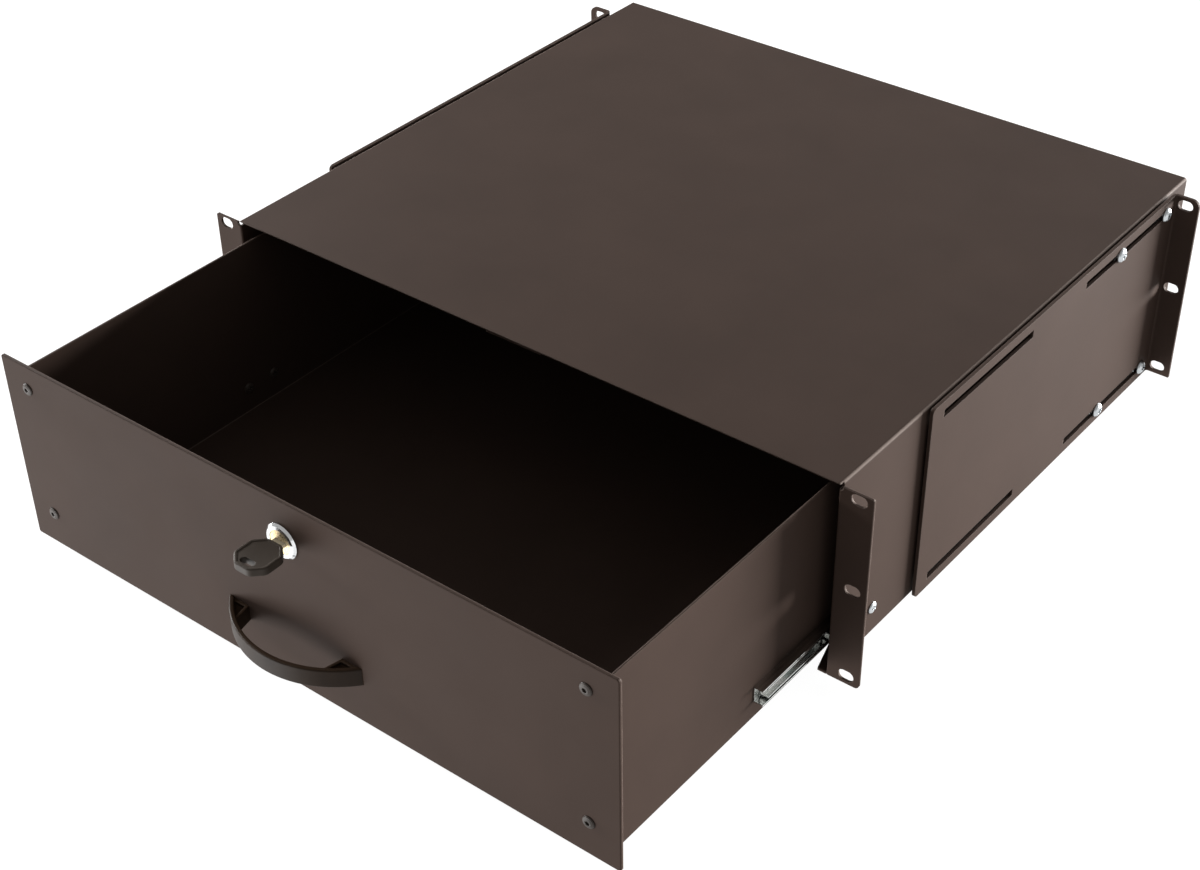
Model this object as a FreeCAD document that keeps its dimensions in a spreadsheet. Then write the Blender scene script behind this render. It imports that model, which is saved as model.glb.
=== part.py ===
import FreeCAD, Part
import math
import os
import re
import Sketcher

# Sliding rack drawer, three rack units high, drawn with the drawer partly out.
# X runs to the right seen from the front, Y to the back, Z up. The origin is the centre
# of the front ears' slot pattern, on the ears' front plane.

os.makedirs("parts", exist_ok=True)
doc = FreeCAD.newDocument("rack_drawer")

# Driving dimensions in millimetres
SIZES = (
    ("rack_width", 482.6),
    ("rack_height", 133.35),
    ("rack_play", 1.35),
    ("ear_width", 19.8),
    ("ear_slot_inset", 8.75),
    ("ear_slot_margin", 6.35),
    ("ear_slot_length", 10.0),
    ("ear_slot_width", 7.0),
    ("ear_drop", 1.4),
    ("ear_top_corner", 1.2),
    ("ear_bottom_corner", 3.0),
    ("case_depth", 400.0),
    ("case_sheet", 1.5),
    ("case_bend", 2.0),
    ("relief_radius", 1.7),
    ("lip_width", 20.0),
    ("lip_front_width", 7.0),
    ("lip_mitre", 45.0),
    ("bracket_gap", 2.0),
    ("bracket_sheet", 2.0),
    ("bracket_bend", 3.4),
    ("bracket_reach", 292.4),
    ("bracket_corner", 3.0),
    ("bracket_play", 0.1),
    ("rear_ear_inset", 23.6),
    ("rear_ear_corner", 5.0),
    ("long_slot_inset", 8.7),
    ("long_slot_width", 5.0),
    ("front_long_slot_margin", 12.5),
    ("front_long_slot_length", 99.0),
    ("rear_long_slot_margin", 8.4),
    ("rear_long_slot_length", 108.0),
    ("bracket_screw_inset", 35.5),
    ("bracket_screw_spacing", 60.5),
    ("bracket_head_radius", 4.6),
    ("bracket_head_height", 2.6),
    ("screw_radius", 2.0),
    ("screw_clearance", 0.3),
    ("thread_clearance", 0.05),
    ("nut_radius", 4.0),
    ("nut_thickness", 3.0),
    ("spacer_radius", 4.4),
    ("drawer_out", 183.0),
    ("closed_gap", 0.5),
    ("panel_side_gap", 0.5),
    ("panel_top_gap", 0.5),
    ("panel_sheet", 2.0),
    ("panel_edge", 0.5),
    ("panel_corner", 1.5),
    ("floor_height", 3.5),
    ("box_rear_gap", 15.0),
    ("box_wall_drop", 8.5),
    ("box_sheet", 1.2),
    ("box_bend", 1.8),
    ("panel_screw_inset", 9.2),
    ("panel_screw_from_top", 16.0),
    ("panel_screw_from_floor", 23.0),
    ("panel_head_radius", 3.9),
    ("panel_head_height", 1.4),
    ("hex_socket", 2.5),
    ("handle_half_length", 50.0),
    ("handle_reach", 24.0),
    ("handle_band", 2.6),
    ("handle_height", 11.8),
    ("handle_rise", 33.7),
    ("handle_round", 0.9),
    ("handle_foot", 15.0),
    ("handle_foot_slant", 3.0),
    ("foot_pocket_share", 0.62),
    ("foot_pocket_depth", 2.2),
    ("handle_screw_inset", 10.0),
    ("handle_screw_radius", 1.5),
    ("handle_screw_bite", 4.0),
    ("handle_screw_end_gap", 1.2),
    ("lock_below_top", 26.5),
    ("bezel_radius", 11.0),
    ("bezel_proud", 1.9),
    ("barrel_radius", 9.5),
    ("barrel_length", 14.0),
    ("plug_radius", 7.4),
    ("plug_clearance", 0.08),
    ("plug_recess", 0.3),
    ("lock_nut_across", 24.0),
    ("lock_nut_thickness", 4.0),
    ("cam_width", 12.0),
    ("cam_sheet", 2.0),
    ("cam_gap", 0.3),
    ("cam_tip_gap", 0.9),
    ("cam_screw_bite", 1.0),
    ("cam_screw_end_gap", 0.7),
    ("strike_sheet", 1.5),
    ("strike_width", 40.0),
    ("strike_box_gap", 0.8),
    ("strike_gap", 1.3),
    ("strike_leg", 9.0),
    ("key_bow_width", 23.5),
    ("key_bow_length", 25.0),
    ("key_bow_thickness", 5.0),
    ("key_bow_corner", 6.5),
    ("key_bow_round", 5.0),
    ("key_bow_edge", 0.8),
    ("key_rim", 1.7),
    ("key_recess", 0.3),
    ("key_hole_length", 9.5),
    ("key_hole_width", 4.4),
    ("key_hole_margin", 2.8),
    ("key_neck", 3.0),
    ("key_blade_width", 8.0),
    ("key_blade_thickness", 2.0),
    ("key_blade_bite", 10.5),
    ("key_blade_seat", 8.0),
    ("key_clearance", 0.15),
    ("keyway_end_gap", 1.0),
    ("slide_space", 9.5),
    ("slide_height", 21.8),
    ("channel_half", 5.5),
    ("channel_sheet", 0.8),
    ("channel_flange", 6.3),
    ("channel_inset", 126.0),
    ("channel_length", 250.0),
    ("middle_sheet", 0.7),
    ("middle_flange", 4.7),
    ("middle_closed_at", 39.0),
    ("middle_length", 300.0),
    ("middle_nose", 1.75),
    ("rail_front", 5.4),
    ("rail_rear_gap", 44.6),
    ("rail_foot_half", 6.0),
    ("rail_foot", 1.2),
    ("rail_play", 0.3),
    ("cage_sheet", 0.3),
    ("cage_play", 0.1),
    ("inner_cage_play", 0.2),
    ("cage_margin", 1.0),
    ("cage_length", 160.0),
    ("outer_cage_closed_at", 127.25),
    ("inner_cage_closed_at", 90.75),
    ("ball_radius", 0.56),
    ("ball_play", 0.04),
    ("ball_clearance", 0.05),
    ("ball_spacing", 30.0),
    ("channel_screw_first", 37.0),
    ("channel_screw_pair", 22.0),
    ("channel_screw_rear", 152.0),
    ("rail_screw_first", 37.0),
    ("rail_screw_spacing", 270.0),
    ("rail_screw_drop", 1.8),
    ("slide_head_radius", 3.6),
    ("slide_head_height", 1.6),
    ("slide_screw_end_gap", 0.05),
)

# Sizes and places that follow from them
FOLLOWING = (
    ("case_width", "rack_width - 2 * ear_width"),
    ("half_case", "case_width / 2"),
    ("case_inside", "half_case - case_sheet"),
    ("case_top", "(rack_height - rack_play) / 2"),
    ("case_under_top", "case_top - case_sheet"),
    ("slot_at", "rack_width / 2 - ear_slot_inset"),
    ("slot_height", "rack_height / 2 - ear_slot_margin"),
    ("long_slot_height", "case_top - long_slot_inset"),
    ("rear_ear", "case_depth - rear_ear_inset"),
    ("bracket_front", "rear_ear - bracket_reach"),
    ("bracket_inner", "half_case + bracket_gap"),
    ("bracket_screw_last", "case_depth - bracket_screw_inset"),
    ("bracket_screw_first", "bracket_screw_last - bracket_screw_spacing"),
    ("half_box", "case_inside - slide_space"),
    ("box_front", "0 - drawer_out"),
    ("box_rear", "box_front + case_depth - box_rear_gap"),
    ("floor_bottom", "floor_height - case_top"),
    ("panel_front", "box_front - panel_sheet"),
    ("panel_top", "case_top - panel_top_gap"),
    ("half_panel", "half_case - panel_side_gap"),
    ("box_top", "panel_top - box_wall_drop"),
    ("handle_level", "floor_bottom + handle_rise"),
    ("handle_radius", "(handle_half_length^2 + handle_reach^2) / (2 * handle_reach)"),
    ("handle_centre", "panel_front - handle_reach + handle_radius"),
    ("foot_tip", "handle_half_length - handle_foot - handle_foot_slant"),
    ("foot_tip_at", "handle_centre - sqrt((handle_radius - handle_band / 2)^2 - foot_tip^2)"),
    ("foot_middle", "(2 * handle_half_length - handle_foot - handle_band / 2 + foot_tip) / 3"),
    ("foot_middle_at", "(2 * panel_front + foot_tip_at) / 3"),
    ("lock_level", "panel_top - lock_below_top"),
    ("cam_reach", "case_under_top - lock_level - cam_tip_gap"),
    ("tail_start", "barrel_length + cam_gap"),
    ("tail_half", "plug_radius / 2"),
    ("tail_flat", "plug_radius * 0.36"),
    ("slide_level", "slide_height - case_top"),
    ("channel_start", "channel_inset - drawer_out"),
    ("channel_screw_one", "channel_start + channel_screw_first"),
    ("channel_screw_two", "channel_screw_one + channel_screw_pair"),
    ("channel_screw_three", "channel_screw_one + channel_screw_rear"),
    ("rail_screw_one", "rail_front + rail_screw_first"),
    ("rail_screw_two", "rail_screw_one + rail_screw_spacing"),
    ("rail_screw_level", "slide_level - rail_screw_drop"),
    ("ball_space", "2 * (ball_radius + ball_play)"),
    ("middle_half", "channel_half - channel_sheet - ball_space"),
    ("rail_half", "middle_half - middle_sheet - ball_space"),
    ("outer_cage_web", "channel_sheet + cage_play"),
    ("middle_web", "outer_cage_web + cage_sheet + cage_play"),
    ("inner_cage_web", "middle_web + middle_sheet + inner_cage_play"),
    ("rail_bar", "inner_cage_web + cage_sheet + rail_play"),
    ("outer_ball_row", "middle_half + ball_space / 2"),
    ("inner_ball_row", "rail_half + ball_space / 2"),
    ("outer_ball_at", "(middle_web + channel_flange) / 2"),
    ("inner_ball_at", "(rail_bar + middle_web + middle_flange) / 2"),
)

sheet = doc.addObject("Spreadsheet::Sheet", "dims")
CELLS = [(name, str(value)) for name, value in SIZES] + [(name, "=" + rule) for name, rule in FOLLOWING]
for row, (name, cell) in enumerate(CELLS, start=1):
    sheet.set("A%d" % row, name)
    sheet.set("B%d" % row, cell)
    sheet.setAlias("B%d" % row, name)
doc.recompute()
ALIASES = {name for name, _ in CELLS}

BRACKET_SCREWS = ("bracket_screw_first", "bracket_screw_last")
CHANNEL_SCREWS = ("channel_screw_one", "channel_screw_two", "channel_screw_three")
RAIL_SCREWS = ("rail_screw_one", "rail_screw_two")
SIDES = (("left", -1), ("right", 1))

# How far the middle member and the two cages travel for each millimetre of drawer
MIDDLE_SHARE = 0.5
CAGE_SHARES = {"outer": 0.75, "inner": 0.25}

BALLS_IN_A_ROW = 5
ALONG = {"XY_Plane": 1, "XZ_Plane": -1, "YZ_Plane": 1}
TINY = 0.001


def bound(text):
    """Puts the sheet's name before each of its aliases in an expression."""
    return re.sub(r"[a-z][a-z_]*", lambda hit: prefix(hit.group(0)), text)


def prefix(word):
    return "dims." + word if word in ALIASES else word


def given(word):
    return "%.9f" % sheet.get(word) if word in ALIASES else word


def amount(text):
    """The present value of an expression, for a sketch's first shape."""
    plain = re.sub(r"[a-z][a-z_]*", lambda hit: given(hit.group(0)), text)
    return FreeCAD.Units.Quantity(plain).Value


def new_body(name):
    body = doc.addObject("PartDesign::Body", name)
    body.Label = name
    return body


def sketch_on(body, plane, offset="0"):
    """A sketch on one of the body's own planes, moved along that plane's world axis."""
    sketch = body.newObject("Sketcher::SketchObject", body.Name + "_sketch")
    origin_plane = [part for part in body.Origin.OriginFeatures if part.Role == plane][0]
    sketch.AttachmentSupport = [(origin_plane, "")]
    sketch.MapMode = "FlatFace"
    sketch.setExpression("AttachmentOffset.Base.z", bound("%d * (%s)" % (ALONG[plane], offset)))
    return sketch


def place_point(sketch, item, point, across, up):
    for kind, text in (("DistanceX", across), ("DistanceY", up)):
        index = sketch.addConstraint(Sketcher.Constraint(kind, -1, 1, item, point, amount(text)))
        sketch.setExpression("Constraints[%d]" % index, bound(text))


def give_radius(sketch, item, text):
    index = sketch.addConstraint(Sketcher.Constraint("Radius", item, amount(text)))
    sketch.setExpression("Constraints[%d]" % index, bound(text))


def outline(sketch, corners):
    """A closed outline of straight lines through corners given as pairs of expressions."""
    first = sketch.GeometryCount
    count = len(corners)
    spots = [FreeCAD.Vector(amount(across), amount(up), 0) for across, up in corners]
    for i in range(count):
        sketch.addGeometry(Part.LineSegment(spots[i], spots[(i + 1) % count]), False)
    for i in range(count):
        following = first + (i + 1) % count
        sketch.addConstraint(Sketcher.Constraint("Coincident", first + i, 2, following, 1))
    for i, (across, up) in enumerate(corners):
        place_point(sketch, first + i, 1, across, up)


def rectangle(sketch, left, low, right, high):
    outline(sketch, ((left, low), (right, low), (right, high), (left, high)))


def centred(sketch, half_width, half_height):
    rectangle(sketch, "0 - (%s)" % half_width, "0 - (%s)" % half_height, half_width, half_height)


def circle(sketch, across, up, radius):
    centre = FreeCAD.Vector(amount(across), amount(up), 0)
    item = sketch.addGeometry(Part.Circle(centre, FreeCAD.Vector(0, 0, 1), amount(radius)), False)
    place_point(sketch, item, 3, across, up)
    give_radius(sketch, item, radius)


def slot(sketch, across, up, length, width):
    """A slot with round ends that runs along the sketch's first axis."""
    first = sketch.GeometryCount
    left_end = "%s - (%s - %s) / 2" % (across, length, width)
    right_end = "%s + (%s - %s) / 2" % (across, length, width)
    half = amount(width + " / 2")
    left = FreeCAD.Vector(amount(left_end), amount(up), 0)
    right = FreeCAD.Vector(amount(right_end), amount(up), 0)
    normal = FreeCAD.Vector(0, 0, 1)
    rise = FreeCAD.Vector(0, half, 0)
    quarter = math.pi / 2
    sketch.addGeometry([
        Part.ArcOfCircle(Part.Circle(left, normal, half), quarter, 3 * quarter),
        Part.ArcOfCircle(Part.Circle(right, normal, half), -quarter, quarter),
        Part.LineSegment(left - rise, right - rise),
        Part.LineSegment(right + rise, left + rise),
    ], False)
    for one, end, other, start in ((0, 2, 2, 1), (2, 2, 1, 1), (1, 2, 3, 1), (3, 2, 0, 1)):
        sketch.addConstraint(Sketcher.Constraint("Tangent", first + one, end, first + other, start))
    sketch.addConstraint(Sketcher.Constraint("Equal", first, first + 1))
    give_radius(sketch, first, width + " / 2")
    place_point(sketch, first, 3, left_end, up)
    place_point(sketch, first + 1, 3, right_end, up)


def plane_of(sketch):
    return sketch.AttachmentSupport[0][0].Role


def pad(body, sketch, length, toward=1, midplane=False):
    """Adds material from the sketch, toward the world axis' plus or minus side."""
    feature = body.newObject("PartDesign::Pad", body.Name + "_pad")
    feature.Profile = sketch
    feature.setExpression("Length", bound(length))
    feature.Midplane = midplane
    feature.Reversed = (toward * ALONG[plane_of(sketch)]) < 0 and not midplane
    doc.recompute()
    return feature


def pocket(body, sketch, length=None, toward=1):
    """Cuts the sketch out of the body; with no length it cuts both ways through all of it."""
    before = body.Shape.Volume
    feature = body.newObject("PartDesign::Pocket", body.Name + "_pocket")
    feature.Profile = sketch
    if length is None:
        feature.Type = "ThroughAll"
        feature.Midplane = True
    else:
        feature.setExpression("Length", bound(length))
        feature.Reversed = (toward * ALONG[plane_of(sketch)]) > 0
    doc.recompute()
    if body.Shape.Volume > before - TINY:
        raise ValueError("a pocket of %s cuts nothing" % body.Label)
    return feature


def turned(body, sketch, axis="Y_Axis"):
    feature = body.newObject("PartDesign::Revolution", body.Name + "_turned")
    feature.Profile = sketch
    line = [part for part in body.Origin.OriginFeatures if part.Role == axis][0]
    feature.ReferenceAxis = (line, [""])
    doc.recompute()
    return feature


def rounded(body, radius, chosen):
    """Rounds the edges of the body's tip that a test picks."""
    tip = body.Tip
    names = ["Edge%d" % (i + 1) for i, edge in enumerate(tip.Shape.Edges) if chosen(edge)]
    feature = body.newObject("PartDesign::Fillet", body.Name + "_fillet")
    feature.Base = (tip, names)
    feature.setExpression("Radius", bound(radius))
    doc.recompute()
    return feature


def runs_along(edge, axis):
    """True for a straight edge parallel to axis 0, 1 or 2."""
    if not isinstance(edge.Curve, Part.Line):
        return False
    return abs(abs(edge.Curve.Direction[axis]) - 1) < TINY


def middle_of(edge):
    return edge.BoundBox.Center


def near(one, other):
    return abs(one - other) < 0.01


def beside(edge, distance):
    """True for an edge at this distance to the left or right of the middle."""
    return near(abs(middle_of(edge).x), amount(distance))


def group(name, pattern, spots, turns=None):
    """Copies of one piece at spots given as triples of expressions, as one named node."""
    pattern.Label = name + "_pattern"
    copies = []
    for index, spot in enumerate(spots):
        copy = doc.addObject("App::Link", "%s_%d" % (name, index + 1))
        copy.setLink(pattern)
        if turns is not None:
            copy.Placement = FreeCAD.Placement(FreeCAD.Vector(0, 0, 0), turns[index])
        for axis, text in zip("xyz", spot):
            copy.setExpression("Placement.Base." + axis, bound(text))
        copies.append(copy)
    together = doc.addObject("Part::Compound", name)
    together.Links = copies
    together.Label = name
    return together


# Turns that point a fastener drawn along +Y (head at the front) along the other ways
TO_LEFT = FreeCAD.Rotation(FreeCAD.Vector(0, 0, 1), 90)
TO_RIGHT = FreeCAD.Rotation(FreeCAD.Vector(0, 0, 1), -90)
TO_FRONT = FreeCAD.Rotation(FreeCAD.Vector(0, 0, 1), 180)


def screw(name, head_radius, head_height, shank_radius, shank_length, rim_share):
    """A screw along +Y: the head stands on the plane y = 0, the shank goes in behind it.
    The head's straight rim is a share of its height, and the rest of it is domed."""
    body = new_body(name)
    profile = sketch_on(body, "XY_Plane")
    shoulder = "%s * %s" % (head_height, rim_share)
    outline(profile, (
        ("0", "0 - %s" % head_height),
        ("%s * 0.55" % head_radius, "0 - %s" % head_height),
        ("%s * 0.88" % head_radius, "0 - (%s + %s) / 2" % (head_height, shoulder)),
        (head_radius, "0 - %s" % shoulder),
        (head_radius, "0"),
        (shank_radius, "0"),
        (shank_radius, shank_length),
        ("0", shank_length),
    ))
    turned(body, profile)
    return body


def cross_recess(body, head_radius, head_height):
    """Cuts the cross recess in a screw head that faces -Y."""
    arm = "%s * 0.52" % head_radius
    half = "%s * 0.13" % head_radius
    cross = sketch_on(body, "XZ_Plane", "0 - 2 * %s" % head_height)
    outline(cross, (
        ("0 - %s" % arm, "0 - %s" % half), ("0 - %s" % half, "0 - %s" % half),
        ("0 - %s" % half, "0 - %s" % arm), (half, "0 - %s" % arm),
        (half, "0 - %s" % half), (arm, "0 - %s" % half),
        (arm, half), (half, half),
        (half, arm), ("0 - %s" % half, arm),
        ("0 - %s" % half, half), ("0 - %s" % arm, half),
    ))
    pocket(body, cross, "1.7 * %s" % head_height)


def hexagon(sketch, across_flats):
    corners = []
    for step in range(6):
        across = math.cos(math.radians(60 * step)) / math.sqrt(3)
        up = math.sin(math.radians(60 * step)) / math.sqrt(3)
        corners.append(("%.6f * %s" % (across, across_flats), "%.6f * %s" % (up, across_flats)))
    outline(sketch, corners)


def ring(name, radius, bore, thickness):
    """A plain ring along +Y from y = 0."""
    body = new_body(name)
    face = sketch_on(body, "XZ_Plane")
    circle(face, "0", "0", radius)
    circle(face, "0", "0", bore)
    pad(body, face, thickness)
    return body


def ear_slots(sketch, sides):
    """Three slots on each side, on the rack's hole pattern."""
    for side in sides:
        for row in (-1, 0, 1):
            slot(sketch, "%d * slot_at" % side, "%d * slot_height" % row,
                 "ear_slot_length", "ear_slot_width")


def case_shell():
    """Top, sides, bottom lips, back and front ears, folded from one sheet."""
    body = new_body("case_shell")
    section = sketch_on(body, "XZ_Plane")
    low = "0 - case_top"
    lip_top = "case_sheet - case_top"
    outline(section, (
        ("half_case - lip_width", low), ("half_case", low), ("half_case", "case_top"),
        ("0 - half_case", "case_top"), ("0 - half_case", low), ("lip_width - half_case", low),
        ("lip_width - half_case", lip_top), ("0 - case_inside", lip_top),
        ("0 - case_inside", "case_under_top"), ("case_inside", "case_under_top"),
        ("case_inside", lip_top), ("half_case - lip_width", lip_top),
    ))
    pad(body, section, "case_depth")
    rounded(body, "case_bend", lambda edge: runs_along(edge, 1)
            and beside(edge, "half_case") and near(abs(middle_of(edge).z), amount("case_top")))
    rounded(body, "case_bend - case_sheet", lambda edge: runs_along(edge, 1)
            and beside(edge, "case_inside") and near(abs(middle_of(edge).z), amount("case_under_top")))
    back = sketch_on(body, "XZ_Plane", "case_depth")
    rectangle(back, "0 - case_inside - case_sheet / 2", "case_sheet / 2 - case_top",
              "case_inside + case_sheet / 2", "case_top - case_sheet / 2")
    pad(body, back, "case_sheet", toward=-1)
    ears = sketch_on(body, "XZ_Plane")
    for side in (-1, 1):
        rectangle(ears, "%d * case_inside" % side, low,
                  "%d * rack_width / 2" % side, "case_top - ear_drop")
    pad(body, ears, "case_sheet")
    rounded(body, "0.9 * case_sheet", lambda edge: runs_along(edge, 2)
            and beside(edge, "case_inside") and near(middle_of(edge).y, 0))
    for radius, end in (("ear_top_corner", 1), ("ear_bottom_corner", -1)):
        rounded(body, radius, lambda edge: runs_along(edge, 1)
                and beside(edge, "rack_width / 2") and middle_of(edge).z * end > 0)
    holes = sketch_on(body, "XZ_Plane", "0 - case_sheet")
    ear_slots(holes, (-1, 1))
    pocket(body, holes, "3 * case_sheet")
    relief = sketch_on(body, "XZ_Plane", "0 - case_sheet")
    for side in (-1, 1):
        circle(relief, "%d * (half_case - relief_radius / 3)" % side,
               "case_top - ear_drop - relief_radius / 2", "relief_radius")
    pocket(body, relief, "3 * case_sheet")
    mitre = sketch_on(body, "XY_Plane", "%s - case_sheet" % low)
    for side in (-1, 1):
        outline(mitre, (
            ("%d * (half_case - lip_width - case_sheet)" % side, "0 - case_sheet"),
            ("%d * (half_case - lip_front_width)" % side, "0 - case_sheet"),
            ("%d * (half_case - lip_front_width)" % side, "0"),
            ("%d * (half_case - lip_width)" % side, "lip_mitre"),
            ("%d * (half_case - lip_width - case_sheet)" % side, "lip_mitre"),
        ))
    pocket(body, mitre, "2.5 * case_sheet")
    side_holes = sketch_on(body, "YZ_Plane")
    for along in BRACKET_SCREWS:
        for row in (-1, 1):
            circle(side_holes, along, "%d * long_slot_height" % row, "screw_radius + screw_clearance")
    for along in RAIL_SCREWS:
        circle(side_holes, along, "rail_screw_level", "screw_radius + screw_clearance")
    pocket(body, side_holes)
    return body


def strike_angle():
    """Angle welded under the case top; its hanging leg is what the turned cam stops behind."""
    body = new_body("lock_strike")
    rear = "(tail_start - panel_sheet - closed_gap - strike_gap)"
    bottom = "(box_top + strike_box_gap)"
    section = sketch_on(body, "YZ_Plane")
    outline(section, (
        ("%s - strike_leg" % rear, "case_under_top - strike_sheet"),
        ("%s - strike_sheet" % rear, "case_under_top - strike_sheet"),
        ("%s - strike_sheet" % rear, bottom),
        (rear, bottom),
        (rear, "case_under_top"),
        ("%s - strike_leg" % rear, "case_under_top"),
    ))
    pad(body, section, "strike_width", midplane=True)
    return body


def rear_bracket(side_name, side):
    """Slotted side plate with a rear ear, folded from one sheet; it slides back for rack depth."""
    body = new_body("rear_bracket_" + side_name)
    plate = sketch_on(body, "YZ_Plane", "%d * bracket_inner" % side)
    rectangle(plate, "bracket_front", "0 - case_top", "rear_ear + bracket_sheet", "case_top")
    pad(body, plate, "bracket_sheet", toward=side)
    rounded(body, "bracket_corner", lambda edge: runs_along(edge, 0)
            and near(middle_of(edge).y, amount("bracket_front")))
    ear = sketch_on(body, "XZ_Plane", "rear_ear")
    rectangle(ear, "%d * bracket_inner" % side, "0 - case_top",
              "%d * rack_width / 2" % side, "case_top")
    pad(body, ear, "bracket_sheet")
    rounded(body, "rear_ear_corner", lambda edge: runs_along(edge, 1)
            and beside(edge, "rack_width / 2") and near(middle_of(edge).z, amount("case_top")))
    rounded(body, "bracket_bend", lambda edge: runs_along(edge, 2)
            and beside(edge, "bracket_inner") and near(middle_of(edge).y, amount("rear_ear + bracket_sheet")))
    rounded(body, "bracket_bend - bracket_sheet", lambda edge: runs_along(edge, 2)
            and beside(edge, "bracket_inner + bracket_sheet") and near(middle_of(edge).y, amount("rear_ear")))
    holes = sketch_on(body, "XZ_Plane", "rear_ear - bracket_sheet")
    ear_slots(holes, (side,))
    pocket(body, holes, "3 * bracket_sheet")
    front_slot = "(bracket_front + front_long_slot_margin)"
    rear_slot = "(rear_ear - rear_long_slot_margin)"
    long_slots = sketch_on(body, "YZ_Plane")
    for row in (-1, 1):
        low = "%d * long_slot_height - long_slot_width / 2" % row
        high = "%d * long_slot_height + long_slot_width / 2" % row
        rectangle(long_slots, front_slot, low, front_slot + " + front_long_slot_length", high)
        rectangle(long_slots, rear_slot + " - rear_long_slot_length", low, rear_slot, high)
    pocket(body, long_slots)
    return body


def bracket_fasteners():
    """Screws, spacers and clinch nuts that clamp the brackets to the case sides."""
    spots = [(side, along, "%d * long_slot_height" % row) for side in (-1, 1)
             for along in BRACKET_SCREWS for row in (-1, 1)]
    turns = [TO_RIGHT if side < 0 else TO_LEFT for side, _, _ in spots]

    def at(offset):
        return [("%d * (half_case + %s)" % (side, offset), along, up) for side, along, up in spots]

    reach = "bracket_gap + bracket_sheet + bracket_play"
    pattern = screw("bracket_screw", "bracket_head_radius", "bracket_head_height", "screw_radius",
                    "(%s + case_sheet + nut_thickness)" % reach, 0.25)
    cross_recess(pattern, "bracket_head_radius", "bracket_head_height")
    group("bracket_screws", pattern, at(reach), turns)
    spacer = ring("bracket_spacer", "spacer_radius", "screw_radius + screw_clearance",
                  "bracket_gap - bracket_play")
    group("bracket_spacers", spacer, at("bracket_gap - bracket_play"), turns)
    nut = ring("bracket_nut", "nut_radius", "screw_radius + thread_clearance", "nut_thickness")
    group("bracket_nuts", nut, at("0 - case_sheet"), turns)


def drawer_box():
    """Open tray folded from thin sheet; its walls stay below the front panel's top."""
    body = new_body("drawer_box")
    base = sketch_on(body, "XY_Plane", "floor_bottom")
    rectangle(base, "0 - half_box", "box_front", "half_box", "box_rear")
    pad(body, base, "box_top - floor_bottom")
    rounded(body, "box_bend", lambda edge: (runs_along(edge, 0) or runs_along(edge, 1))
            and near(middle_of(edge).z, amount("floor_bottom")))
    hollow = sketch_on(body, "XY_Plane", "box_top")
    rectangle(hollow, "box_sheet - half_box", "box_front + box_sheet",
              "half_box - box_sheet", "box_rear - box_sheet")
    pocket(body, hollow, "box_top - floor_bottom - box_sheet", toward=-1)
    rounded(body, "box_bend - box_sheet", lambda edge: (runs_along(edge, 0) or runs_along(edge, 1))
            and near(middle_of(edge).z, amount("floor_bottom + box_sheet")))
    front_holes = sketch_on(body, "XZ_Plane", "box_front - box_sheet")
    front_cuts(front_holes)
    pocket(body, front_holes, "3 * box_sheet")
    side_holes = sketch_on(body, "YZ_Plane")
    for along in CHANNEL_SCREWS:
        circle(side_holes, along, "slide_level", "screw_radius + screw_clearance")
    pocket(body, side_holes)
    return body


def panel_spots():
    heights = ("panel_top - panel_screw_from_top", "floor_bottom + panel_screw_from_floor")
    return [("%d * (half_box - panel_screw_inset)" % side, up) for side in (-1, 1) for up in heights]


def handle_spots():
    return [("%d * (handle_half_length - handle_screw_inset)" % side, "handle_level") for side in (-1, 1)]


def front_cuts(sketch):
    """The holes that the panel and the box front share."""
    for across, up in panel_spots():
        circle(sketch, across, up, "screw_radius + screw_clearance")
    for across, up in handle_spots():
        circle(sketch, across, up, "handle_screw_radius + screw_clearance")
    circle(sketch, "0", "lock_level", "barrel_radius + screw_clearance")


def drawer_front_panel():
    body = new_body("drawer_front_panel")
    face = sketch_on(body, "XZ_Plane", "panel_front")
    rectangle(face, "0 - half_panel", "floor_bottom", "half_panel", "panel_top")
    pad(body, face, "panel_sheet")
    rounded(body, "panel_corner", lambda edge: runs_along(edge, 1) and beside(edge, "half_panel"))
    rounded(body, "panel_edge", lambda edge: near(edge.BoundBox.YMax, amount("panel_front")))
    holes = sketch_on(body, "XZ_Plane", "panel_front - panel_sheet")
    front_cuts(holes)
    pocket(body, holes, "3 * panel_sheet")
    return body


def panel_fasteners():
    pattern = screw("panel_screw", "panel_head_radius", "panel_head_height", "screw_radius",
                    "panel_sheet + box_sheet + nut_thickness", 0.3)
    socket = sketch_on(pattern, "XZ_Plane", "0 - 2 * panel_head_height")
    hexagon(socket, "hex_socket")
    pocket(pattern, socket, "1.7 * panel_head_height")
    group("panel_screws", pattern, [(across, "panel_front", up) for across, up in panel_spots()])
    nut = ring("panel_nut", "nut_radius", "screw_radius + thread_clearance", "nut_thickness")
    group("panel_nuts", nut, [(across, "box_front + box_sheet", up) for across, up in panel_spots()])


def foot_corners(side, share="1"):
    """Corners of a foot's wedge, drawn in toward its middle by a share."""
    corners = (
        ("handle_half_length - handle_foot", "panel_front"),
        ("handle_half_length - handle_band / 2", "panel_front"),
        ("foot_tip", "foot_tip_at"),
    )
    return [("%d * (foot_middle + %s * (%s - foot_middle))" % (side, share, across),
             "foot_middle_at + %s * (%s - foot_middle_at)" % (share, up)) for across, up in corners]


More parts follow.
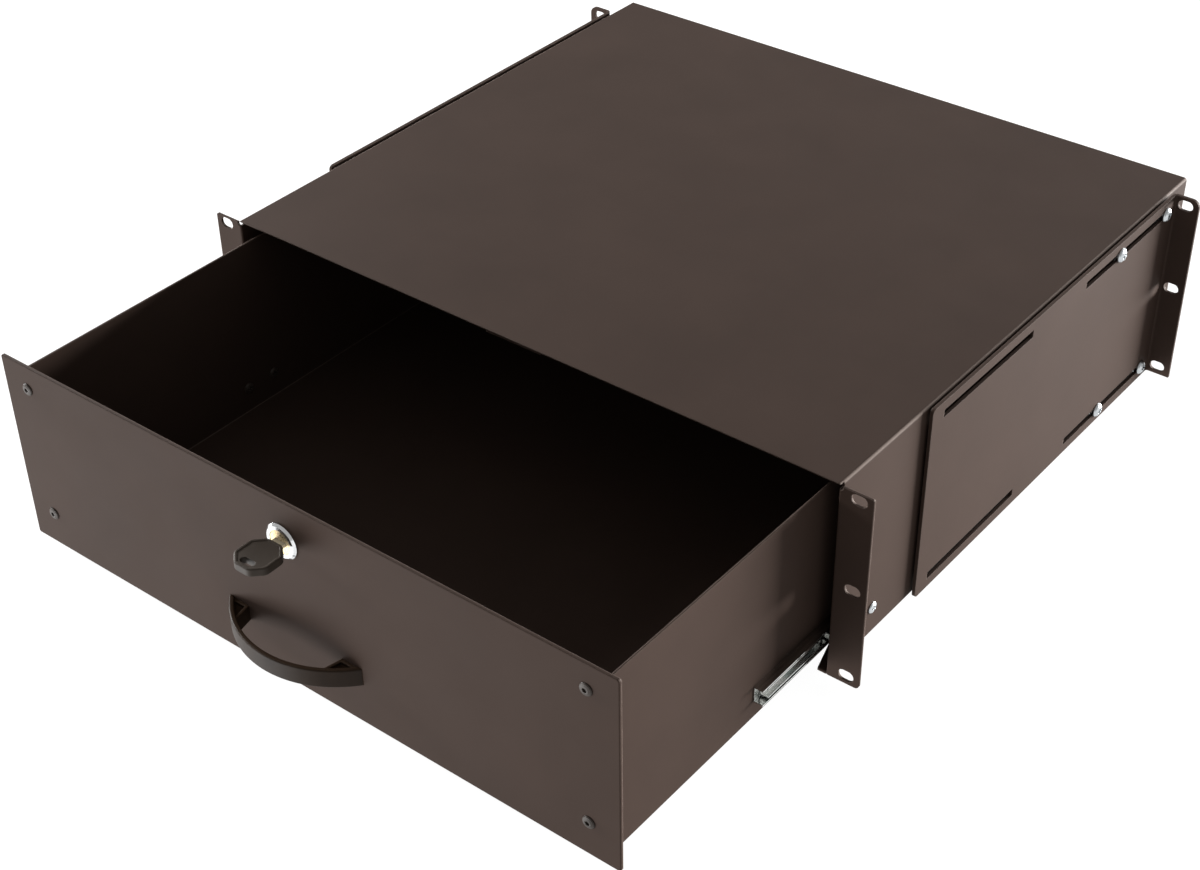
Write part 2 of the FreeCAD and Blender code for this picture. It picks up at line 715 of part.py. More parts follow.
def handle():
    """Bowed pull: a thin curved band with a wedge foot, hollow above and below, at each end."""
    body = new_body("handle")
    outer = sketch_on(body, "XY_Plane", "handle_level")
    circle(outer, "0", "handle_centre", "handle_radius")
    pad(body, outer, "handle_height", midplane=True)
    inner = sketch_on(body, "XY_Plane", "handle_level")
    circle(inner, "0", "handle_centre", "handle_radius - handle_band")
    pocket(body, inner)
    behind = sketch_on(body, "XY_Plane", "handle_level")
    rectangle(behind, "0 - 2 * handle_radius", "panel_front",
              "2 * handle_radius", "panel_front + 2 * handle_radius")
    pocket(body, behind)
    feet = sketch_on(body, "XY_Plane", "handle_level")
    for side in (-1, 1):
        outline(feet, foot_corners(side))
    pad(body, feet, "handle_height - 2 * handle_round", midplane=True)
    rounded(body, "handle_round", lambda edge: isinstance(edge.Curve, Part.Circle)
            and near(edge.Curve.Radius, amount("handle_radius"))
            and near(abs(middle_of(edge).z - amount("handle_level")), amount("handle_height / 2")))
    for up in (-1, 1):
        hollow = sketch_on(body, "XY_Plane", "handle_level + %d * (handle_height / 2 - handle_round)" % up)
        for side in (-1, 1):
            outline(hollow, foot_corners(side, "foot_pocket_share"))
        pocket(body, hollow, "foot_pocket_depth", toward=-up)
    holes = sketch_on(body, "XZ_Plane", "panel_front + panel_sheet")
    for across, up in handle_spots():
        circle(holes, across, up, "handle_screw_radius + thread_clearance")
    pocket(body, holes, "panel_sheet + handle_screw_bite + handle_screw_end_gap", toward=-1)
    return body


def handle_fasteners():
    head = "(2 * handle_screw_radius)"
    pattern = screw("handle_screw", head, "handle_screw_radius",
                    "handle_screw_radius", "panel_sheet + box_sheet + handle_screw_bite", 0.3)
    cross_recess(pattern, head, "handle_screw_radius")
    spots = [(across, "box_front + box_sheet", up) for across, up in handle_spots()]
    group("handle_screws", pattern, spots, [TO_FRONT] * len(spots))


def at_lock(body, depth):
    """Places a piece drawn round the Y axis on the lock's axis."""
    body.setExpression("Placement.Base.y", bound(depth))
    body.setExpression("Placement.Base.z", bound("lock_level"))
    doc.recompute()
    return body


def lock_body():
    """Chrome bezel and barrel in one; y = 0 is the panel's front face."""
    body = new_body("lock_body")
    bore = "(plug_radius + plug_clearance)"
    profile = sketch_on(body, "XY_Plane")
    outline(profile, (
        (bore, "0 - bezel_proud"),
        ("bezel_radius - bezel_proud * 0.7", "0 - bezel_proud"),
        ("bezel_radius", "0 - bezel_proud * 0.4"),
        ("bezel_radius", "0"),
        ("barrel_radius", "0"),
        ("barrel_radius", "barrel_length"),
        (bore, "barrel_length"),
    ))
    turned(body, profile)
    return at_lock(body, "panel_front")


def lock_plug():
    """Turning core: flat face with the keyway, and a tail with flats for the cam."""
    body = new_body("lock_plug")
    profile = sketch_on(body, "XY_Plane")
    outline(profile, (
        ("0", "plug_recess - bezel_proud"), ("plug_radius", "plug_recess - bezel_proud"),
        ("plug_radius", "barrel_length"), ("tail_half", "barrel_length"),
        ("tail_half", "tail_start + cam_sheet"), ("0", "tail_start + cam_sheet"),
    ))
    turned(body, profile)
    flats = sketch_on(body, "XZ_Plane", "tail_start")
    for side in (-1, 1):
        rectangle(flats, "0 - plug_radius", "%d * tail_flat" % side,
                  "plug_radius", "%d * plug_radius" % side)
    pocket(body, flats, "2 * cam_sheet")
    keyway = sketch_on(body, "XZ_Plane", "0 - 2 * bezel_proud")
    centred(keyway, "key_blade_width / 2 + key_clearance", "key_blade_thickness / 2 + key_clearance")
    pocket(body, keyway, "bezel_proud + plug_recess + key_blade_bite + keyway_end_gap")
    bore = sketch_on(body, "XZ_Plane", "tail_start + 2 * cam_sheet")
    circle(bore, "0", "0", "handle_screw_radius + thread_clearance")
    pocket(body, bore, "2 * cam_sheet + cam_gap + cam_screw_bite + cam_screw_end_gap", toward=-1)
    return at_lock(body, "panel_front")


def lock_nut():
    body = new_body("lock_nut")
    face = sketch_on(body, "XZ_Plane")
    hexagon(face, "lock_nut_across")
    circle(face, "0", "0", "barrel_radius + thread_clearance")
    pad(body, face, "lock_nut_thickness")
    return at_lock(body, "box_front + box_sheet")


def lock_cam():
    """Tongue on the plug's tail; it points sideways when unlocked and turns up behind the strike."""
    body = new_body("lock_cam")
    face = sketch_on(body, "XZ_Plane")
    slot(face, "(cam_reach - cam_width / 2) / 2", "0", "(cam_reach + cam_width / 2)", "cam_width")
    pad(body, face, "cam_sheet")
    fit = sketch_on(body, "XZ_Plane", "0 - cam_sheet")
    centred(fit, "tail_half + thread_clearance", "tail_flat + thread_clearance")
    pocket(body, fit, "3 * cam_sheet")
    return at_lock(body, "panel_front + tail_start")


def cam_screw():
    head = "(plug_radius * 0.8)"
    body = screw("cam_screw", head, "handle_screw_radius", "handle_screw_radius",
                 "cam_sheet + cam_gap + cam_screw_bite", 0.3)
    cross_recess(body, head, "handle_screw_radius")
    at_lock(body, "panel_front + tail_start + cam_sheet")
    body.Placement = FreeCAD.Placement(body.Placement.Base, TO_FRONT)
    return body


def at_plug_face(body):
    return at_lock(body, "panel_front - bezel_proud + plug_recess")


def key_blade():
    """Flat metal blade; y = 0 is the plug's face."""
    body = new_body("key_blade")
    face = sketch_on(body, "XY_Plane")
    half = "(key_blade_width / 2)"
    quarter = "(key_blade_width / 4)"
    back = "(0 - key_neck - key_blade_seat)"
    outline(face, (
        ("0 - " + half, back), (half, back), (half, "key_blade_bite - " + quarter),
        (quarter, "key_blade_bite"), ("0 - " + quarter, "key_blade_bite"),
        ("0 - " + half, "key_blade_bite - " + quarter),
    ))
    pad(body, face, "key_blade_thickness", midplane=True)
    return at_plug_face(body)


def bow_outline(sketch, inset):
    """The bow's eight sides, drawn a little inside its rim where an inset is given."""
    half = "(key_bow_width / 2 - %s)" % inset
    near_end = "(0 - key_neck - %s)" % inset
    far_end = "(0 - key_neck - key_bow_length + %s)" % inset
    corner = "(key_bow_corner - %s * (2 - sqrt(2)))" % inset
    outline(sketch, (
        ("%s - %s" % (corner, half), near_end), ("%s - %s" % (half, corner), near_end),
        (half, "%s - %s" % (near_end, corner)), (half, "%s + %s" % (far_end, corner)),
        ("%s - %s" % (half, corner), far_end), ("%s - %s" % (corner, half), far_end),
        ("0 - " + half, "%s + %s" % (far_end, corner)), ("0 - " + half, "%s - %s" % (near_end, corner)),
    ))


def key_bow():
    """Eight-sided grip with a sunk face and a ring slot, moulded round the blade's end."""
    body = new_body("key_bow")
    face = sketch_on(body, "XY_Plane")
    bow_outline(face, "0")
    pad(body, face, "key_bow_thickness", midplane=True)
    rounded(body, "key_bow_round", lambda edge: runs_along(edge, 2))
    rounded(body, "key_bow_edge", lambda edge: near(abs(middle_of(edge).z), amount("key_bow_thickness / 2")))
    for up in (-1, 1):
        sunk = sketch_on(body, "XY_Plane", "%d * key_bow_thickness" % up)
        bow_outline(sunk, "key_rim")
        pocket(body, sunk, "key_bow_thickness / 2 + key_recess", toward=-up)
    hole = sketch_on(body, "XY_Plane")
    slot(hole, "0", "key_hole_margin + key_hole_width / 2 - key_neck - key_bow_length",
         "key_hole_length", "key_hole_width")
    pocket(body, hole)
    seat = sketch_on(body, "XZ_Plane", "0")
    centred(seat, "key_blade_width / 2", "key_blade_thickness / 2")
    pocket(body, seat, "key_neck + key_blade_seat", toward=-1)
    return at_plug_face(body)


def outward(side, offset):
    """A place across the slide, counted outward from the drawer wall."""
    return "%d * (half_box + %s)" % (side, offset)


def across_slide(side, spots):
    """Section corners of a slide member as (offset from the drawer wall, height from the slide's middle)."""
    return [(outward(side, offset), "slide_level + %s" % up) for offset, up in spots]


def channel_section(side, web, thickness, half, flange):
    """A channel that opens outward: web at one side and two flanges."""
    inner = "(%s - %s)" % (half, thickness)
    tip = "(%s + %s)" % (web, flange)
    floor = "(%s + %s)" % (web, thickness)
    return across_slide(side, (
        (web, "(0 - %s)" % half), (tip, "(0 - %s)" % half), (tip, "(0 - %s)" % inner),
        (floor, "(0 - %s)" % inner), (floor, inner), (tip, inner), (tip, half), (web, half),
    ))


def slide_channel(side_name, side):
    """Drawer member of the slide, screwed to the drawer wall."""
    body = new_body("slide_channel_" + side_name)
    section = sketch_on(body, "XZ_Plane", "channel_start")
    outline(section, channel_section(side, "0", "channel_sheet", "channel_half", "channel_flange"))
    pad(body, section, "channel_length")
    holes = sketch_on(body, "YZ_Plane")
    for along in CHANNEL_SCREWS:
        circle(holes, along, "slide_level", "screw_radius + thread_clearance")
    pocket(body, holes)
    return body


def slide_middle(side_name, side):
    """Middle member: nests in the drawer member and carries it on the case rail."""
    body = new_body("slide_middle_" + side_name)
    start = "(middle_closed_at - %s * drawer_out)" % MIDDLE_SHARE
    section = sketch_on(body, "XZ_Plane", start)
    outline(section, channel_section(side, "middle_web", "middle_sheet", "middle_half", "middle_flange"))
    pad(body, section, "middle_length")
    rounded(body, "middle_nose", lambda edge: runs_along(edge, 0) and near(middle_of(edge).y, amount(start))
            and near(abs(middle_of(edge).z - amount("slide_level")), amount("middle_half")))
    return body


def slide_rail(side_name, side):
    """Case member: a bar on a foot plate that is screwed to the case side."""
    body = new_body("slide_rail_" + side_name)
    section = sketch_on(body, "XZ_Plane", "rail_front")
    foot = "(slide_space - rail_foot)"
    outline(section, across_slide(side, (
        ("rail_bar", "(0 - rail_half)"), (foot, "(0 - rail_half)"), (foot, "(0 - rail_foot_half)"),
        ("slide_space", "(0 - rail_foot_half)"), ("slide_space", "rail_foot_half"), (foot, "rail_foot_half"),
        (foot, "rail_half"), ("rail_bar", "rail_half"),
    )))
    pad(body, section, "case_depth - rail_front - rail_rear_gap")
    holes = sketch_on(body, "YZ_Plane", "%d * (case_inside + rail_foot)" % side)
    for along in RAIL_SCREWS:
        circle(holes, along, "rail_screw_level", "screw_radius + thread_clearance")
    pocket(body, holes, "2 * rail_foot", toward=-side)
    return body


def ball_places(stage):
    """Where a stage's cage starts, and its ball centres along the slide."""
    start = "(%s_cage_closed_at - %s * drawer_out)" % (stage, CAGE_SHARES[stage])
    steps = [i - BALLS_IN_A_ROW // 2 for i in range(BALLS_IN_A_ROW)]
    return start, ["%s + cage_length / 2 + %d * ball_spacing" % (start, step) for step in steps]


def ball_cage(side_name, side, stage):
    start, along = ball_places(stage)
    web = stage + "_cage_web"
    ball_at = stage + "_ball_at"
    body = new_body("ball_cage_%s_%s" % (stage, side_name))
    section = sketch_on(body, "XZ_Plane", start)
    outline(section, channel_section(side, web, "cage_sheet", "(%s_ball_row + cage_sheet / 2)" % stage,
                                     "(%s + cage_margin - %s)" % (ball_at, web)))
    pad(body, section, "cage_length")
    holes = sketch_on(body, "XY_Plane")
    for spot in along:
        circle(holes, outward(side, ball_at), spot, "ball_radius + ball_clearance")
    pocket(body, holes)
    return body


def ball_row(side_name, side, stage):
    name = "balls_%s_%s" % (stage, side_name)
    ball = doc.addObject("Part::Sphere", name + "_ball")
    ball.setExpression("Radius", bound("ball_radius"))
    spots = [(outward(side, stage + "_ball_at"), spot, "slide_level + %d * %s_ball_row" % (up, stage))
             for spot in ball_places(stage)[1] for up in (-1, 1)]
    return group(name, ball, spots)


def slide_fasteners():
    """Screws of the drawer members, driven from inside the drawer, and of the rails, from outside."""
    inner = screw("channel_screw", "slide_head_radius", "slide_head_height", "screw_radius",
                  "box_sheet + channel_sheet - slide_screw_end_gap", 0.35)
    cross_recess(inner, "slide_head_radius", "slide_head_height")
    spots = [(side, along) for side in (-1, 1) for along in CHANNEL_SCREWS]
    group("channel_screws", inner,
          [("%d * (half_box - box_sheet)" % side, along, "slide_level") for side, along in spots],
          [TO_LEFT if side < 0 else TO_RIGHT for side, _ in spots])
    outer = screw("rail_screw", "slide_head_radius", "slide_head_height", "screw_radius",
                  "case_sheet + rail_foot - slide_screw_end_gap", 0.35)
    cross_recess(outer, "slide_head_radius", "slide_head_height")
    spots = [(side, along) for side in (-1, 1) for along in RAIL_SCREWS]
    group("rail_screws", outer,
          [("%d * half_case" % side, along, "rail_screw_level") for side, along in spots],
          [TO_RIGHT if side < 0 else TO_LEFT for side, _ in spots])


case_shell()
strike_angle()
bracket_fasteners()
drawer_box()
drawer_front_panel()
panel_fasteners()
handle()
handle_fasteners()
lock_body()
lock_plug()
lock_nut()
lock_cam()
cam_screw()
key_blade()
key_bow()
for side_name, side in SIDES:
    rear_bracket(side_name, side)
    slide_channel(side_name, side)
    slide_middle(side_name, side)
    slide_rail(side_name, side)
    for stage in CAGE_SHARES:
        ball_cage(side_name, side, stage)
        ball_row(side_name, side, stage)
slide_fasteners()
doc.recompute()

for item in doc.Objects:
    if "Invalid" in item.State or "Error" in item.State:
        raise ValueError("%s is not built" % item.Label)
written = [item for item in doc.Objects
           if item.TypeId in ("PartDesign::Body", "Part::Compound") and not item.Label.endswith("_pattern")]
for item in written:
    if item.Shape.isNull() or not item.Shape.isValid():
        raise ValueError("%s has no valid shape" % item.Label)
    item.Shape.exportStep("parts/%s.step" % item.Label)
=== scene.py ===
import bpy
import math
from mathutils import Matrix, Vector


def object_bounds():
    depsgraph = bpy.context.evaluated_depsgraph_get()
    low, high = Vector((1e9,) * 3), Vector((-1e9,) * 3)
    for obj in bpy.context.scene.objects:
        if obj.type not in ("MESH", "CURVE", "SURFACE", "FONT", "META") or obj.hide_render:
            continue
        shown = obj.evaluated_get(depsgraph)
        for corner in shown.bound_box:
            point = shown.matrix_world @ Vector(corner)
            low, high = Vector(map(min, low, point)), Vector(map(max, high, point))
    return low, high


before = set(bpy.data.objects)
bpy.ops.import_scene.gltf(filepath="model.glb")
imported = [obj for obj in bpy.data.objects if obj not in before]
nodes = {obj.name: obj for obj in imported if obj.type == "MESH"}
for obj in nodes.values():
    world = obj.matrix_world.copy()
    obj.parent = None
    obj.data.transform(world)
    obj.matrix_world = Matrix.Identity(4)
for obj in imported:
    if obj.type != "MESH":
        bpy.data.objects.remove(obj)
cad_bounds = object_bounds()
scene = bpy.context.scene

# Lengths are in metres, scales of patterns per metre, colours in linear red, green and blue

# Range of a mask, and the middle of a pattern's values, where most of them lie
WHOLE = (0.0, 1.0)
MIDDLE = (0.3, 0.7)

# Paint as the photo shows it: a warm, brownish near-black, with a painted highlight on edges and
# folds, and thinner, worn paint on edges too
PAINT = (0.0335, 0.0217, 0.0170)
# Pale paint for flecks and worn edges, and the colour of the painted highlights on edges and folds
PAINT_FLECK_WEAR_AND_HIGHLIGHT = (0.125, 0.097, 0.083)
PAINT_ROUGHNESS = (0.625, 0.66)
PAINT_GLOSS = 0.04
PAINT_MOTTLE = 0.07
PEEL_WIDTH = 0.00035
PEEL_SCALE = 0.45 / PEEL_WIDTH
PEEL_HEIGHT = 0.00008

# Drawn metal is streaked along the slides, from front to back
ALONG_SLIDE = (1.0, 0.03, 1.0)
STREAK_HEIGHT = 0.00005
METAL_EDGE_RADIUS = 0.0002

# Clouds, rubbed edges with a painted highlight, painted light on tops, grain and clear coat of
# moulded and lacquered pieces
CLOUD_DARK = 0.8
CLOUD_LIGHT = 1.25
RUB_AND_HIGHLIGHT_LIFT = 0.01
TOP_HIGHLIGHT_LIGHTER = 2.2
MOULD_GRAIN = 1800.0
GRAIN_HEIGHT = 0.00006
COAT_ROUGHNESS = 0.2

# How far the rounded direction leaves the true one, from where an edge starts to where it is sharp
EDGE_TURN = (0.02, 0.25)

# Sockets of a mix of colours
MIX_FACTOR = 0
MIX_ONE = 6
MIX_OTHER = 7
MIX_RESULT = 2


def new_material(name):
    """A material with its node tree and its Principled shader."""
    material = bpy.data.materials.new(name)
    material.use_nodes = True
    tree = material.node_tree
    shader = tree.nodes["Principled BSDF"]
    return material, tree, shader


def add(tree, kind, **settings):
    """A new node of that kind with its settings."""
    node = tree.nodes.new(kind)
    for key, value in settings.items():
        setattr(node, key, value)
    return node


def noise(tree, place, scale, detail, roughness):
    """A cloudy pattern around 0.5 at a place."""
    texture = add(tree, "ShaderNodeTexNoise")
    texture.inputs["Scale"].default_value = scale
    texture.inputs["Detail"].default_value = detail
    texture.inputs["Roughness"].default_value = roughness
    tree.links.new(place, texture.inputs["Vector"])
    return texture.outputs["Fac"]


def spread(tree, value, part, onto):
    """Stretches part of a value's range over another range."""
    node = add(tree, "ShaderNodeMapRange")
    node.inputs["From Min"].default_value = part[0]
    node.inputs["From Max"].default_value = part[1]
    node.inputs["To Min"].default_value = onto[0]
    node.inputs["To Max"].default_value = onto[1]
    tree.links.new(value, node.inputs["Value"])
    return node.outputs["Result"]


def blend_colours(tree, factor, one, other):
    """Colour one where the factor is 0 and the other where it is 1."""
    mix = add(tree, "ShaderNodeMix", data_type="RGBA")
    tree.links.new(factor, mix.inputs[MIX_FACTOR])
    for socket, colour in ((mix.inputs[MIX_ONE], one), (mix.inputs[MIX_OTHER], other)):
        if isinstance(colour, tuple):
            socket.default_value = (*colour, 1.0)
        else:
            tree.links.new(colour, socket)
    return mix.outputs[MIX_RESULT]


def shade(colour, share):
    """A colour made darker or lighter."""
    return tuple(channel * share for channel in colour)


def object_place(tree, stretch=(1.0, 1.0, 1.0)):
    """Object coordinates, stretched along the axes."""
    coords = add(tree, "ShaderNodeTexCoord")
    mapping = add(tree, "ShaderNodeMapping")
    mapping.inputs["Scale"].default_value = stretch
    tree.links.new(coords.outputs["Object"], mapping.inputs["Vector"])
    return mapping.outputs["Vector"]


def facing(tree, axes):
    """Product of a face's directions along two of the object's axes, without its sign.

    It is 0.5 halfway between two axes, and with one axis given twice it is 1 on a face square to it.
    """
    coords = add(tree, "ShaderNodeTexCoord")
    parts = add(tree, "ShaderNodeSeparateXYZ")
    tree.links.new(coords.outputs["Normal"], parts.inputs[0])
    product = add(tree, "ShaderNodeMath", operation="MULTIPLY")
    for socket, axis in zip(product.inputs, axes):
        tree.links.new(parts.outputs[axis], socket)
    size = add(tree, "ShaderNodeMath", operation="ABSOLUTE")
    tree.links.new(product.outputs[0], size.inputs[0])
    return size.outputs[0]


def rounded_normal(tree, radius, samples):
    """The surface's direction with its sharp edges rounded."""
    bevel = add(tree, "ShaderNodeBevel", samples=samples)
    bevel.inputs["Radius"].default_value = radius
    return bevel.outputs["Normal"]


def edge_mask(tree, rounded):
    """1 on sharp edges and 0 on flat faces, from the rounded normal against the true one."""
    geometry = add(tree, "ShaderNodeNewGeometry")
    dot = add(tree, "ShaderNodeVectorMath", operation="DOT_PRODUCT")
    tree.links.new(rounded, dot.inputs[0])
    tree.links.new(geometry.outputs["Normal"], dot.inputs[1])
    turned = add(tree, "ShaderNodeMath", operation="SUBTRACT")
    turned.inputs[0].default_value = 1.0
    tree.links.new(dot.outputs["Value"], turned.inputs[1])
    return spread(tree, turned.outputs[0], EDGE_TURN, WHOLE)


def bump(tree, shader, height, rounded, strength, distance):
    """Relief from a pattern's height, on top of the rounded edges."""
    node = add(tree, "ShaderNodeBump")
    node.inputs["Strength"].default_value = strength
    node.inputs["Distance"].default_value = distance
    tree.links.new(height, node.inputs["Height"])
    tree.links.new(rounded, node.inputs["Normal"])
    tree.links.new(node.outputs["Normal"], shader.inputs["Normal"])


def powder_coat(name, edge_radius=0.0006, fold_highlight=0.5):
    """Baked powder paint: fine orange peel, faint mottling, thinner paint on edges, and painted
    highlights on edges and folds.
    """
    material, tree, shader = new_material(name)
    place = object_place(tree)

    # Faint clouds of darker and lighter paint, with fine flecks in them
    mottle = noise(tree, place, scale=14.0, detail=4.0, roughness=0.6)
    darker = shade(PAINT, 1.0 - PAINT_MOTTLE)
    lighter = shade(PAINT, 1.0 + PAINT_MOTTLE)
    colour = blend_colours(tree, spread(tree, mottle, MIDDLE, WHOLE), darker, lighter)
    fleck = noise(tree, place, scale=2600.0, detail=2.0, roughness=0.7)
    flecks = spread(tree, fleck, part=(0.62, 0.8), onto=(0.0, 0.15))
    colour = blend_colours(tree, flecks, colour, PAINT_FLECK_WEAR_AND_HIGHLIGHT)

    # Sharp edges lighter: unevenly thin, worn paint, and a painted highlight along them
    rounded = rounded_normal(tree, edge_radius, samples=6)
    worn = noise(tree, place, scale=160.0, detail=3.0, roughness=0.6)
    edge_wear_and_highlight = add(tree, "ShaderNodeMath", operation="MULTIPLY")
    tree.links.new(edge_mask(tree, rounded), edge_wear_and_highlight.inputs[0])
    tree.links.new(spread(tree, worn, part=(0.35, 0.65), onto=(0.55, 0.95)), edge_wear_and_highlight.inputs[1])
    colour = blend_colours(tree, edge_wear_and_highlight.outputs[0], colour, PAINT_FLECK_WEAR_AND_HIGHLIGHT)

    # Painted highlight along the long folds between top or bottom and sides, where faces turn halfway
    # between them
    painted_fold_highlight = spread(tree, facing(tree, "XZ"), part=(0.2, 0.5), onto=(0.0, fold_highlight))
    colour = blend_colours(tree, painted_fold_highlight, colour, PAINT_FLECK_WEAR_AND_HIGHLIGHT)
    tree.links.new(colour, shader.inputs["Base Color"])

    # Slightly uneven gloss
    smear = noise(tree, place, scale=30.0, detail=5.0, roughness=0.65)
    tree.links.new(spread(tree, smear, MIDDLE, PAINT_ROUGHNESS), shader.inputs["Roughness"])
    shader.inputs["Specular IOR Level"].default_value = PAINT_GLOSS

    # Orange peel
    peel = noise(tree, place, scale=PEEL_SCALE, detail=2.0, roughness=0.5)
    bump(tree, shader, peel, rounded, strength=0.16, distance=PEEL_HEIGHT)
    return material


def metal(name, colour, rough, streak, stretch=(1.0, 1.0, 1.0), tint=None, depth=0.1, contrast=0.8):
    """Bare or plated metal: drawn or turned streaks, uneven gloss and an optional second tint."""
    material, tree, shader = new_material(name)
    lines = noise(tree, object_place(tree, stretch), scale=streak, detail=4.0, roughness=0.65)
    colours = blend_colours(tree, spread(tree, lines, MIDDLE, WHOLE), shade(colour, contrast), colour)
    if tint is not None:
        cloud = noise(tree, object_place(tree), scale=90.0, detail=3.0, roughness=0.6)
        tinted = spread(tree, cloud, part=(0.45, 0.7), onto=(0.0, 0.75))
        colours = blend_colours(tree, tinted, colours, tint)
    tree.links.new(colours, shader.inputs["Base Color"])
    shader.inputs["Metallic"].default_value = 1.0
    uneven = spread(tree, lines, part=(0.25, 0.75), onto=(rough - 0.06, rough + 0.08))
    tree.links.new(uneven, shader.inputs["Roughness"])
    rounded = rounded_normal(tree, METAL_EDGE_RADIUS, samples=4)
    bump(tree, shader, lines, rounded, strength=depth, distance=STREAK_HEIGHT)
    return material


def moulded(name, colour, rough, gloss, coat=0.0, edge_radius=0.0005, rub_and_highlight=2.4, top_highlight=0.0):
    """Moulded plastic or satin lacquer with a fine grain, edges lighter from rubbing and a painted
    highlight, and painted light on its top.
    """
    material, tree, shader = new_material(name)
    place = object_place(tree)
    cloud = noise(tree, place, scale=60.0, detail=4.0, roughness=0.6)
    darker = shade(colour, CLOUD_DARK)
    lighter = shade(colour, CLOUD_LIGHT)
    colours = blend_colours(tree, spread(tree, cloud, MIDDLE, WHOLE), darker, lighter)
    rounded = rounded_normal(tree, edge_radius, samples=6)
    # Edges lighter: partly rubbed, partly a painted highlight
    rubbed_and_highlit = tuple(channel * rub_and_highlight + RUB_AND_HIGHLIGHT_LIFT for channel in colour)
    edge_rub_and_highlight = spread(tree, edge_mask(tree, rounded), part=WHOLE, onto=(0.0, 0.7))
    colours = blend_colours(tree, edge_rub_and_highlight, colours, rubbed_and_highlit)
    # Painted light: faces turned upwards made lighter, as if lit from above
    if top_highlight:
        painted_top_light = spread(tree, facing(tree, "ZZ"), part=(0.2, 0.9), onto=(0.0, top_highlight))
        colours = blend_colours(tree, painted_top_light, colours, shade(colour, TOP_HIGHLIGHT_LIGHTER))
    tree.links.new(colours, shader.inputs["Base Color"])
    uneven = spread(tree, cloud, part=MIDDLE, onto=(rough - 0.05, rough + 0.06))
    tree.links.new(uneven, shader.inputs["Roughness"])
    shader.inputs["Specular IOR Level"].default_value = gloss
    shader.inputs["Coat Weight"].default_value = coat
    shader.inputs["Coat Roughness"].default_value = COAT_ROUGHNESS
    grain = noise(tree, place, scale=MOULD_GRAIN, detail=2.0, roughness=0.6)
    bump(tree, shader, grain, rounded, strength=0.12, distance=GRAIN_HEIGHT)
    return material


# Finishes; the fold, edge and top settings set how strong the painted highlights on folds, edges and
# tops are
case_paint = powder_coat("case_powder_coat", edge_radius=0.001, fold_highlight=0.9)
drawer_paint = powder_coat("drawer_powder_coat", edge_radius=0.0008)
panel_paint = powder_coat("panel_powder_coat", edge_radius=0.001)
bracket_paint = powder_coat("bracket_powder_coat")
handle_black = moulded("handle_satin_black", (0.0135, 0.0078, 0.0045), 0.43, gloss=0.08,
                       coat=0.03, edge_radius=0.0009, rub_and_highlight=6.0, top_highlight=0.9)
key_black = moulded("key_moulded_black", (0.032, 0.0247, 0.0190), 0.55, gloss=0.12, top_highlight=0.3)
black_oxide = moulded("screw_black_oxide", (0.030, 0.023, 0.019), 0.42, gloss=0.2, rub_and_highlight=1.5)
bright_zinc = metal("bright_zinc_plate", (0.62, 0.65, 0.67), 0.3, streak=1200.0)
slide_zinc = metal("slide_drawn_zinc", (0.92, 0.92, 0.90), 0.17, streak=420.0,
                   stretch=ALONG_SLIDE, tint=(0.55, 0.62, 0.60), contrast=0.38)
plain_steel = metal("plain_rolled_steel", (0.5, 0.5, 0.51), 0.34, streak=700.0)
ball_steel = metal("polished_ball_steel", (0.78, 0.78, 0.8), 0.1, streak=2000.0, depth=0.02)
chrome = metal("lock_chrome_plate", (0.86, 0.87, 0.88), 0.13, streak=1600.0, depth=0.03)
brass = metal("lock_satin_brass", (0.83, 0.66, 0.38), 0.27, streak=1100.0, tint=(0.62, 0.46, 0.24))

# Which finish each piece has
FINISHES = {
    "case_shell": case_paint,
    "lock_strike": case_paint,
    "drawer_box": drawer_paint,
    "drawer_front_panel": panel_paint,
    "panel_screws": black_oxide,
    "channel_screws": black_oxide,
    "handle": handle_black,
    "key_bow": key_black,
    "key_blade": plain_steel,
    "bracket_nuts": plain_steel,
    "panel_nuts": plain_steel,
    "lock_body": chrome,
    "lock_plug": brass,
}
for name in ("bracket_screws", "bracket_spacers", "rail_screws", "handle_screws",
             "lock_nut", "lock_cam", "cam_screw"):
    FINISHES[name] = bright_zinc
for side in ("left", "right"):
    FINISHES["rear_bracket_" + side] = bracket_paint
    for member in ("slide_channel_", "slide_middle_", "slide_rail_"):
        FINISHES[member + side] = slide_zinc
    for stage in ("outer", "inner"):
        FINISHES["ball_cage_%s_%s" % (stage, side)] = plain_steel
        FINISHES["balls_%s_%s" % (stage, side)] = ball_steel

for name, node in nodes.items():
    if not node.material_slots:
        node.data.materials.append(FINISHES[name])
    for slot in node.material_slots:
        slot.material = FINISHES[name]

# Floor: a plain pale sheet just under the part. The front light stands lower than it, so it casts
# no shadow and lets that light through to the front panel, where shadows rise as in the photo
FLOOR_HALF = 30.0
FLOOR_GAP = 0.0005
FLOOR_GREY = 0.08
FLOOR_ROUGHNESS = 0.9
FLOOR_GLOW = 0.97
floor_level = cad_bounds[0][2] - FLOOR_GAP
floor_corners = [(x * FLOOR_HALF, y * FLOOR_HALF, floor_level)
                 for x, y in ((-1, -1), (1, -1), (1, 1), (-1, 1))]
floor_mesh = bpy.data.meshes.new("studio_floor")
floor_mesh.from_pydata(floor_corners, [], [(0, 1, 2, 3)])
floor = bpy.data.objects.new("studio_floor", floor_mesh)
scene.collection.objects.link(floor)
floor_material, _, floor_shader = new_material("studio_floor_white")
floor_shader.inputs["Base Color"].default_value = (FLOOR_GREY, FLOOR_GREY, FLOOR_GREY, 1.0)
floor_shader.inputs["Roughness"].default_value = FLOOR_ROUGHNESS
floor_shader.inputs["Emission Color"].default_value = (1.0, 1.0, 1.0, 1.0)
floor_shader.inputs["Emission Strength"].default_value = FLOOR_GLOW
floor_mesh.materials.append(floor_material)
floor.visible_shadow = False

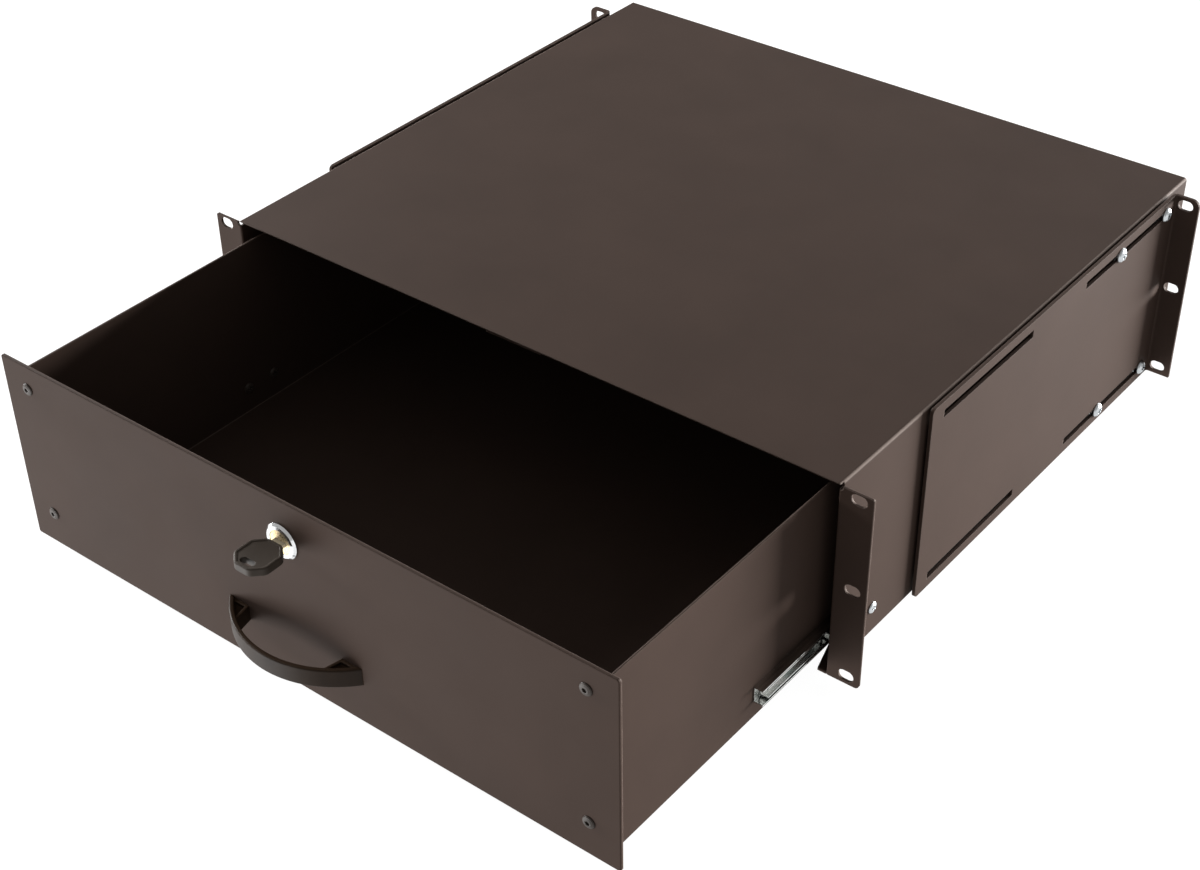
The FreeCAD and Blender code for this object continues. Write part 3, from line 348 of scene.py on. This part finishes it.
# Studio light: soft area lights low and high behind, on the left and low in front, in a dim room
PART_MIDDLE = (0.0, 0.05, 0.0)
FRONT_PANEL = (-0.1, -0.18, 0.0)
ROOM_COLOUR = (1.0, 0.99, 0.98, 1.0)
ROOM_STRENGTH = 0.46


def area_light(name, place, width, height, power, aim=PART_MIDDLE):
    """A rectangular soft light that shines from its place towards its aim."""
    data = bpy.data.lights.new(name, "AREA")
    data.shape = "RECTANGLE"
    data.size = width
    data.size_y = height
    data.energy = power
    light = bpy.data.objects.new(name, data)
    light.location = place
    light.rotation_euler = (Vector(aim) - Vector(place)).to_track_quat("-Z", "Y").to_euler()
    scene.collection.objects.link(light)


area_light("key_back_right", (1.62, 3.2, 0.08), width=2.2, height=0.9, power=690.0)
area_light("top_back", (-1.0, 4.0, 2.7), width=2.8, height=1.4, power=110.0)
area_light("side_left", (-3.4, 0.2, 0.86), width=2.4, height=0.7, power=425.0)
area_light("front_left", (-1.1, -1.5, -0.85), width=1.8, height=0.9, power=66.0, aim=FRONT_PANEL)

world = bpy.data.worlds.new("studio_room")
scene.world = world
world.use_nodes = True
room = world.node_tree.nodes["Background"]
room.inputs["Color"].default_value = ROOM_COLOUR
room.inputs["Strength"].default_value = ROOM_STRENGTH
scene.view_settings.view_transform = "Standard"

# Camera at the photo's place, angle and framing
CAMERA_PLACE = (0.65, -0.7306, 0.7119)
CAMERA_TURN = (53.397, 0.8235, 38.430)
CAMERA_LENS = 61.996
SENSOR_WIDTH = 36.0
FRAME_SHIFT = (0.00655, 0.01352)
SIGHT_LENGTH = 50.0
camera_data = bpy.data.cameras.new("photo_camera")
camera_data.lens = CAMERA_LENS
camera_data.sensor_width = SENSOR_WIDTH
camera_data.sensor_fit = "HORIZONTAL"
camera_data.shift_x, camera_data.shift_y = FRAME_SHIFT
camera_data.clip_end = SIGHT_LENGTH
camera = bpy.data.objects.new("photo_camera", camera_data)
camera.location = CAMERA_PLACE
camera.rotation_euler = [math.radians(angle) for angle in CAMERA_TURN]
scene.collection.objects.link(camera)
scene.camera = camera
